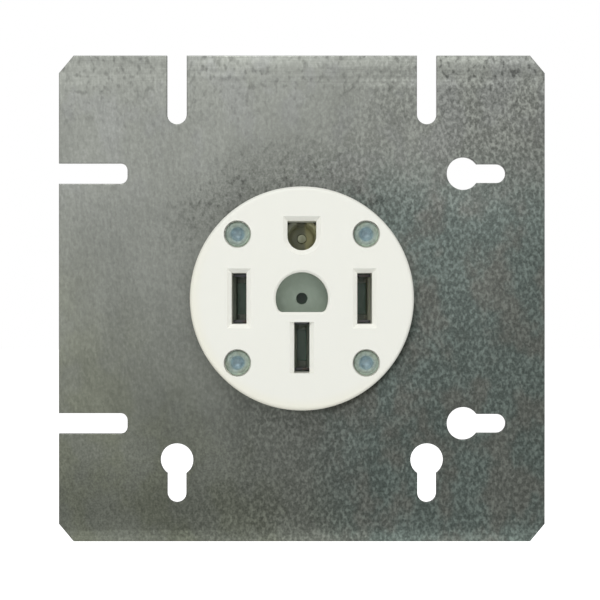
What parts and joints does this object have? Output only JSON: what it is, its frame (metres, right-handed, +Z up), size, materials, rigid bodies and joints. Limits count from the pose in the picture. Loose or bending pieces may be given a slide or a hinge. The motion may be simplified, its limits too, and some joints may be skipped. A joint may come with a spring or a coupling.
{
  "type": "power socket",
  "caption": "Round white range receptacle riveted to a square galvanised steel box cover, with clamp-screw wire terminals in a dark moulded body behind.",
  "frame": {"origin": "centre of the mounting plate's back face, which lies on the wall box's rim", "axes": "+X to the right and +Z up as the outlet hangs on a wall with the ground hole at the top, -Y out of the wall towards the plug, +Y into the box"},
  "size_m": [0.119, 0.0426, 0.119],
  "materials": {
    "galvanised_steel": "spangled zinc",
    "white_moulding": "satin",
    "dark_moulding": "satin",
    "brass_strip": "rolled",
    "spring_steel": "rolled",
    "zinc_plate": "bluish zinc plate",
    "tinned_lug": "tin plate",
    "screw_steel": "zinc plate"
  },
  "bodies": {
    "receptacle": {"mounting_plate": "galvanised_steel", "face": "white_moulding", "body": "dark_moulding", "neutral_contact": "brass_strip", "neutral_spring": "spring_steel", "ground_contact": "brass_strip", "ground_spring": "spring_steel", "ground_strap": "brass_strip", "ground_rivet": "zinc_plate", "line_1_contact": "brass_strip", "line_1_spring": "spring_steel", "line_2_contact": "brass_strip", "line_2_spring": "spring_steel", "line_1_lug": "tinned_lug", "line_2_lug": "tinned_lug", "neutral_lug": "tinned_lug", "ground_lug": "tinned_lug", "rivet_upper_left": "zinc_plate", "rivet_upper_right": "zinc_plate", "rivet_lower_left": "zinc_plate", "rivet_lower_right": "zinc_plate"},
    "line_1_clamp": {"line_1_screw": "screw_steel"},
    "line_2_clamp": {"line_2_screw": "screw_steel"},
    "neutral_clamp": {"neutral_screw": "screw_steel"},
    "ground_clamp": {"ground_screw": "screw_steel"}
  },
  "joints": [
    {"name": "line_1_clamp_travel", "type": "slide", "parent": "receptacle", "child": "line_1_clamp", "axis": [1, 0, 0], "range_m": [0, 0.004]},
    {"name": "line_2_clamp_travel", "type": "slide", "parent": "receptacle", "child": "line_2_clamp", "axis": [-1, 0, 0], "range_m": [0, 0.004]},
    {"name": "neutral_clamp_travel", "type": "slide", "parent": "receptacle", "child": "neutral_clamp", "axis": [0, 0, 1], "range_m": [0, 0.004]},
    {"name": "ground_clamp_travel", "type": "slide", "parent": "receptacle", "child": "ground_clamp", "axis": [0, 0, -1], "range_m": [0, 0.004]}
  ]
}
